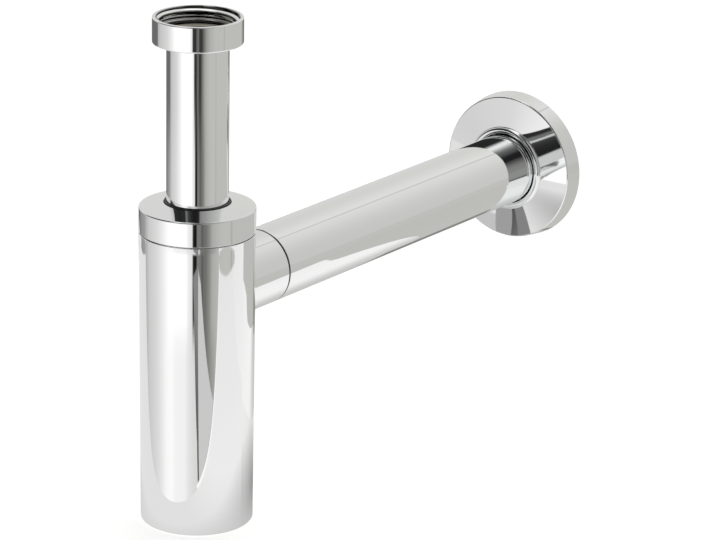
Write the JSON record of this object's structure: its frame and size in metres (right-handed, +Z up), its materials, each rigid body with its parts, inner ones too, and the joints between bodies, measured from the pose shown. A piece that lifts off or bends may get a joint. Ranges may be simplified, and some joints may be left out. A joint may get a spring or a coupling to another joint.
{
  "type": "basin trap",
  "caption": "Chromed bottle trap: union nut and sliding inlet tube, screwed cap on a tall round cup, and a straight outlet tube with a round wall flange.",
  "frame": {"origin": "on the inlet axis at the seat of the basin waste, the washer's top face inside the inlet nut", "axes": "+Z up along the inlet, +Y along the outlet towards the wall, +X completes the frame"},
  "size_m": [0.085, 0.3446, 0.2704],
  "materials": {
    "nut_chrome": "polished chrome plate on brass",
    "inlet_chrome": "polished chrome plate on brass",
    "cap_chrome": "polished chrome plate on brass",
    "cup_chrome": "polished chrome plate on brass",
    "outlet_chrome": "polished chrome plate on brass",
    "flange_chrome": "polished chrome plate on pressed brass",
    "rubber": "matt black rubber",
    "nylon": "satin moulded nylon",
    "washer": "pale fibre washer"
  },
  "bodies": {
    "inlet": {"inlet_tube": "inlet_chrome", "inlet_washer": "washer"},
    "nut_ring": {"nut_slip_ring": "nylon"},
    "nut": {"inlet_nut": "nut_chrome"},
    "tube_seal": {"cone_seal": "rubber", "slip_ring": "nylon"},
    "cup": {"trap_body": "cup_chrome", "seal_carrier": "nylon", "carrier_gasket": "rubber", "branch_seal": "rubber"},
    "wiper": {"tube_wiper": "rubber"},
    "cap": {"cap_ring": "cap_chrome"},
    "outlet_rings": {"inner_o_ring": "rubber", "outer_o_ring": "rubber"},
    "outlet": {"outlet_tube": "outlet_chrome"},
    "grip_ring": {"flange_grip_ring": "rubber"},
    "flange": {"wall_flange": "flange_chrome"}
  },
  "joints": [
    {"name": "nut_drop", "type": "slide", "parent": "inlet", "child": "nut_ring", "axis": [0, 0, -1], "range_m": [0, 0.078]},
    {"name": "nut_turn", "type": "hinge", "parent": "nut_ring", "child": "nut", "pos_m": [0, 0, 0], "axis": [0, 0, 1], "continuous": true},
    {"name": "cup_height", "type": "slide", "parent": "inlet", "child": "tube_seal", "axis": [0, 0, -1], "range_m": [-0.02, 0.015]},
    {"name": "cup_swivel", "type": "hinge", "parent": "tube_seal", "child": "cup", "pos_m": [0, 0, -0.1], "axis": [0, 0, 1], "continuous": true},
    {"name": "cap_rise", "type": "slide", "parent": "cup", "child": "wiper", "axis": [0, 0, 1], "range_m": [0, 0.008]},
    {"name": "cap_turn", "type": "hinge", "parent": "wiper", "child": "cap", "pos_m": [0, 0, -0.1], "axis": [0, 0, 1], "range_deg": [0, 1440]},
    {"name": "outlet_pull", "type": "slide", "parent": "cup", "child": "outlet_rings", "axis": [0, 1, 0], "range_m": [0, 0.012]},
    {"name": "outlet_turn", "type": "hinge", "parent": "outlet_rings", "child": "outlet", "pos_m": [0, 0, -0.1372], "axis": [0, 1, 0], "continuous": true},
    {"name": "flange_slide", "type": "slide", "parent": "outlet", "child": "grip_ring", "axis": [0, -1, 0], "range_m": [-0.012, 0.21]},
    {"name": "flange_turn", "type": "hinge", "parent": "grip_ring", "child": "flange", "pos_m": [0, 0.28, -0.1372], "axis": [0, 1, 0], "continuous": true}
  ],
  "couplings": [
    {"joint": "cap_rise", "follows": "cap_turn", "m_per_rad": 0.0003183}
  ]
}
